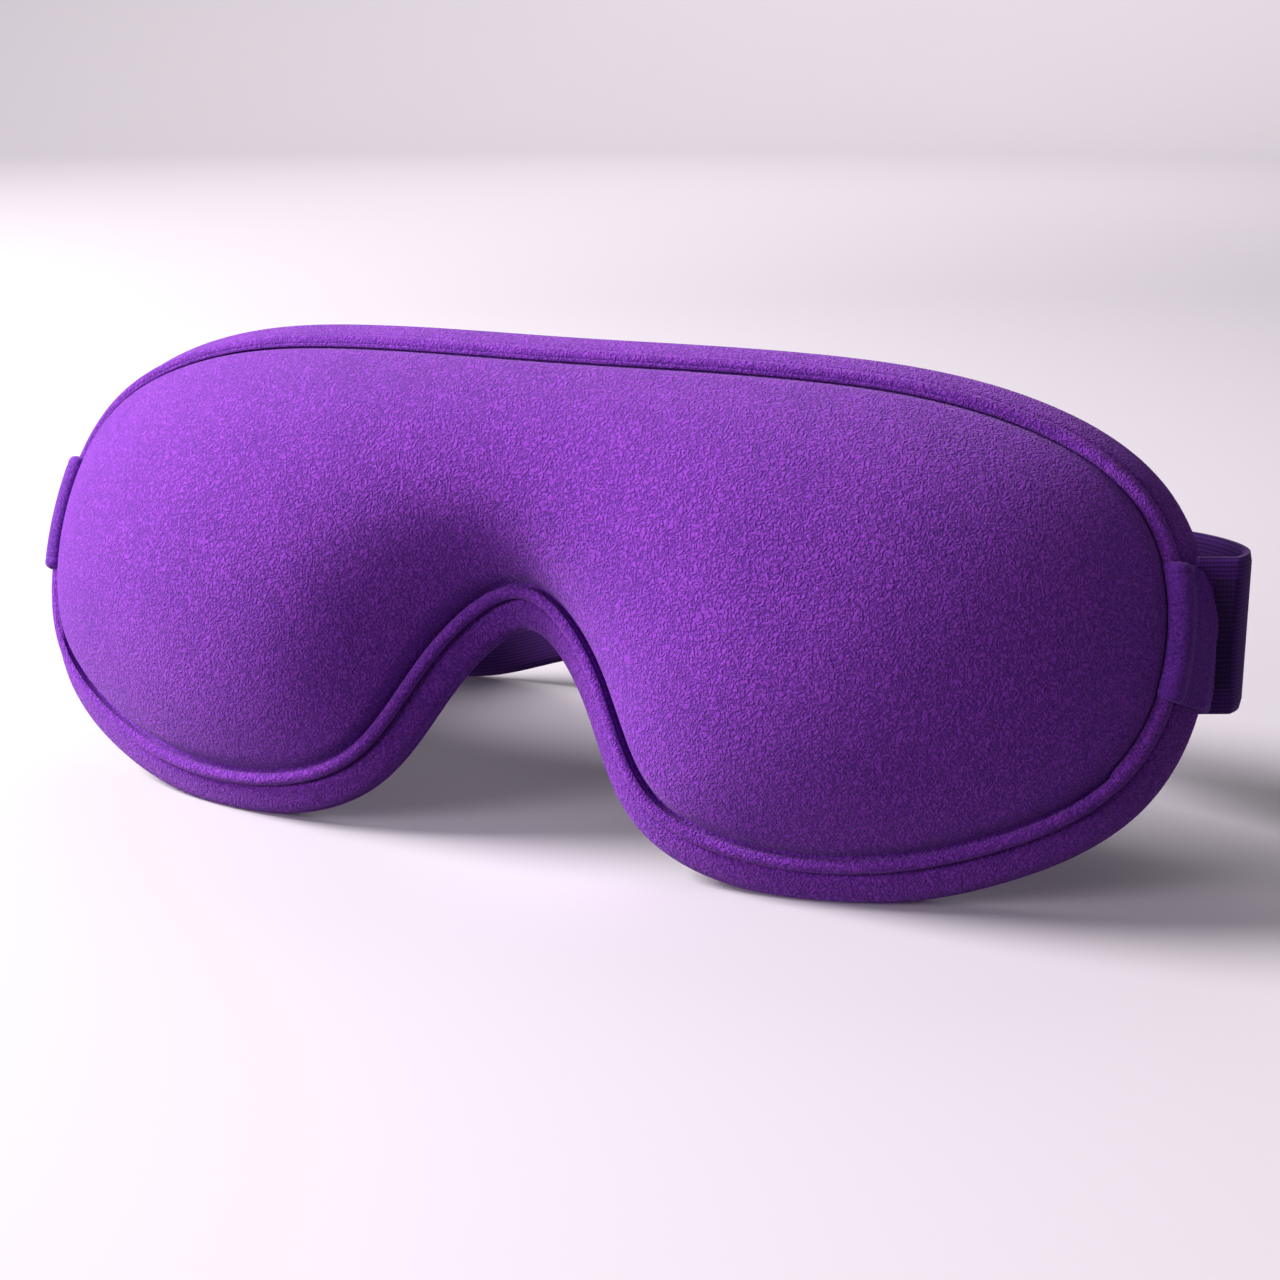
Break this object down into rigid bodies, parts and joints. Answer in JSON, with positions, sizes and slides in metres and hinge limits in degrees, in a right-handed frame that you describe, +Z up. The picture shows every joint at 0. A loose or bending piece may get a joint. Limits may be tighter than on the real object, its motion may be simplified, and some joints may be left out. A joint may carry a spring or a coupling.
{
  "type": "sleep eye mask",
  "caption": "Contoured sleep eye mask with a domed padded front, moulded eye cups, beaded rim, fabric end tabs and a hook and loop head strap.",
  "frame": {"origin": "centre of the bottom of the whole mask's box, on the surface it stands on", "axes": "+X across the face towards the closure end, +Y to the back of the mask, +Z up; the pad leans back 23 degrees"},
  "size_m": [0.2342, 0.103, 0.0857],
  "materials": {
    "cover_fabric": "brushed microfibre",
    "lining_fabric": "soft knit",
    "foam": "moulded foam",
    "tab_fabric": "ribbed microfibre",
    "felt": "brushed felt",
    "elastic": "woven elastic",
    "loop_pile": "loop pile",
    "hook_nylon": "moulded hooks",
    "thread": "sewing thread"
  },
  "bodies": {
    "pad": {"outer_cover": "cover_fabric", "foam_core": "foam", "inner_lining": "lining_fabric", "edge_binding": "cover_fabric", "rim_bead": "cover_fabric", "left_tab": "tab_fabric", "right_tab": "tab_fabric", "left_felt": "felt", "right_felt": "felt", "left_tab_stitches": "thread", "right_tab_stitches": "thread"},
    "left_strap": {"left_strap": "elastic"},
    "strap_end": {"end_binding": "elastic", "end_stitches": "thread"},
    "hook_tab": {"hook_tab": "tab_fabric", "hook_tape": "hook_nylon", "hook_stitches": "thread"},
    "right_strap": {"right_strap": "elastic", "loop_tape": "loop_pile", "loop_stitches": "thread"}
  },
  "joints": [
    {"name": "left_strap_swing", "type": "hinge", "parent": "pad", "child": "left_strap", "pos_m": [-0.11234, 0.00376, 0.0425], "axis": [0, 0, 1], "range_deg": [0, 60]},
    {"name": "strap_stretch", "type": "slide", "parent": "left_strap", "child": "strap_end", "axis": [0.9336, -0.3584, 0], "range_m": [0, 0.012], "stiffness_N_per_m": 60},
    {"name": "hook_tab_peel", "type": "hinge", "parent": "strap_end", "child": "hook_tab", "pos_m": [0.06389, 0.03107, 0.04255], "axis": [0, 0, 1], "range_deg": [0, 80]},
    {"name": "right_strap_swing", "type": "hinge", "parent": "pad", "child": "right_strap", "pos_m": [0.11446, -0.00484, 0.04255], "axis": [0, 0, -1], "range_deg": [0, 42]}
  ],
  "couplings": [
    {"joint": "right_strap_swing", "follows": "left_strap_swing", "ratio": 0.7}
  ]
}
